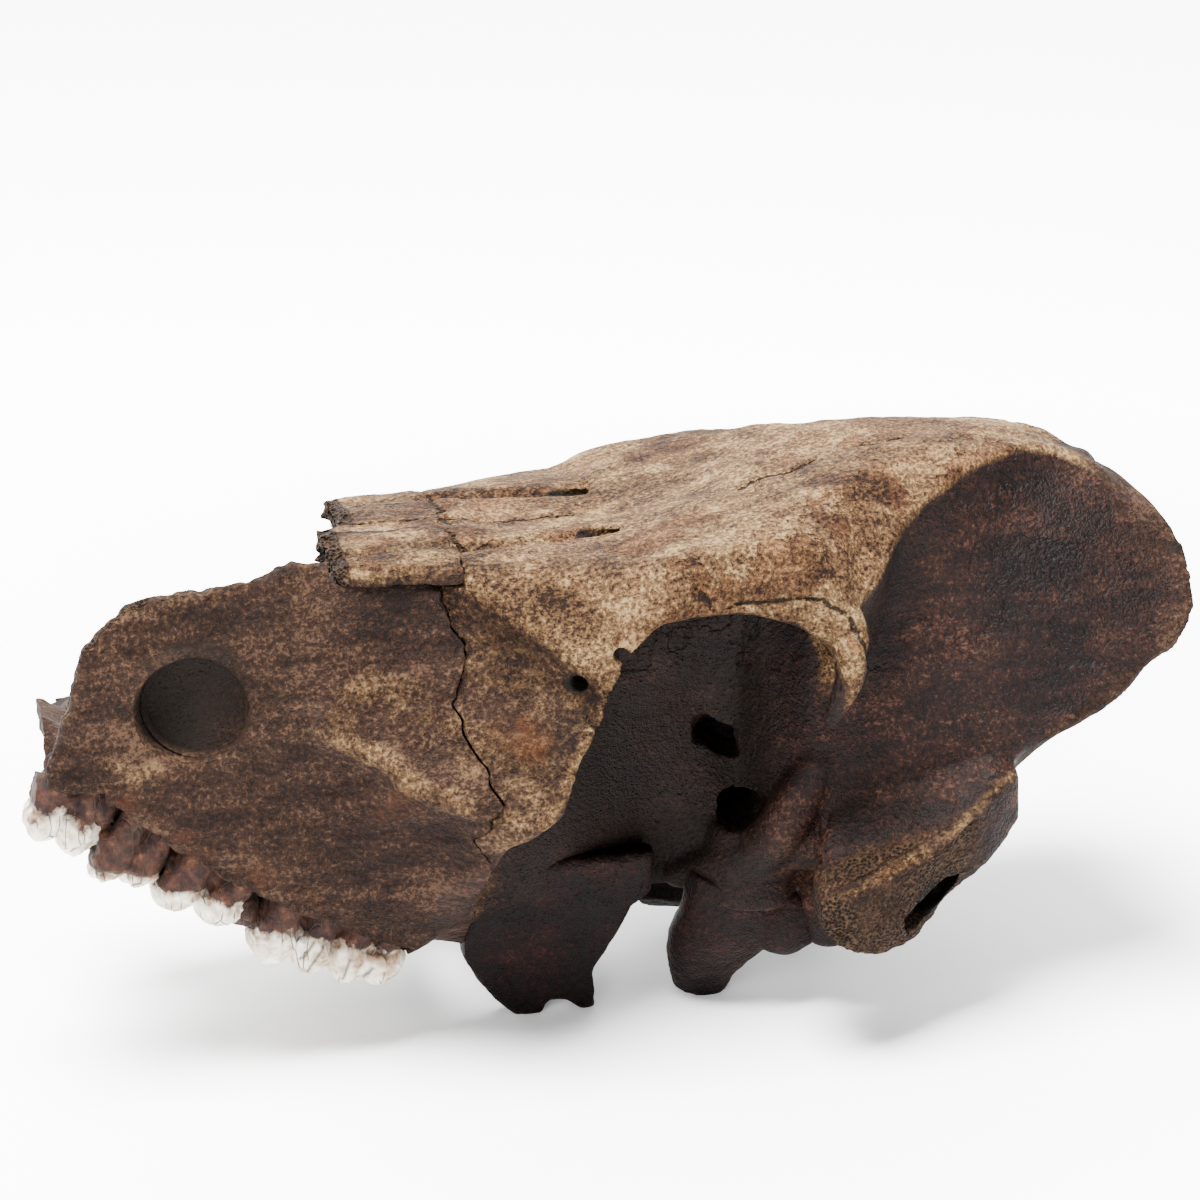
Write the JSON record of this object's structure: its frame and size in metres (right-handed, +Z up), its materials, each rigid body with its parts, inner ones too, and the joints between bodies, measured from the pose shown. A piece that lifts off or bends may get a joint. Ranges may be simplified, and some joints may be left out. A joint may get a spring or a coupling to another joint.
{
  "type": "wild boar skull",
  "caption": "Weathered wild boar skull without its lower jaw, snout broken off ahead of the cheek teeth, resting on its base as a natural history display piece.",
  "frame": {"origin": "centre of the footprint of the whole skull's box, on the surface that it rests on", "axes": "-X points to the snout and +X to the back of the head, -Y is the skull's left side, +Z is up as it rests; Y = 0 is the skull's plane of symmetry"},
  "size_m": [0.2696, 0.1234, 0.1323],
  "materials": {
    "roof_bone": "dry weathered bone, pale tan with grey and pinkish patches, fine open pores",
    "face_bone": "dry grained bone, mid brown, dull",
    "base_bone": "stained bone, dark chocolate brown, faint satin sheen",
    "tooth": "worn cream enamel with dark cracks over reddish brown roots"
  },
  "bodies": {
    "root": {"cranium": "roof_bone", "nasal_left": "roof_bone", "nasal_right": "roof_bone", "maxilla_left": "face_bone", "maxilla_right": "face_bone", "pterygoid_left": "base_bone", "pterygoid_right": "base_bone", "bulla_left": "base_bone", "bulla_right": "base_bone", "paracondylar_process_right": "base_bone", "premolar_4_left": "tooth", "molar_1_left": "tooth", "molar_1_right": "tooth", "molar_2_left": "tooth", "molar_2_right": "tooth", "molar_3_left": "tooth", "molar_3_right": "tooth"}
  },
  "joints": []
}
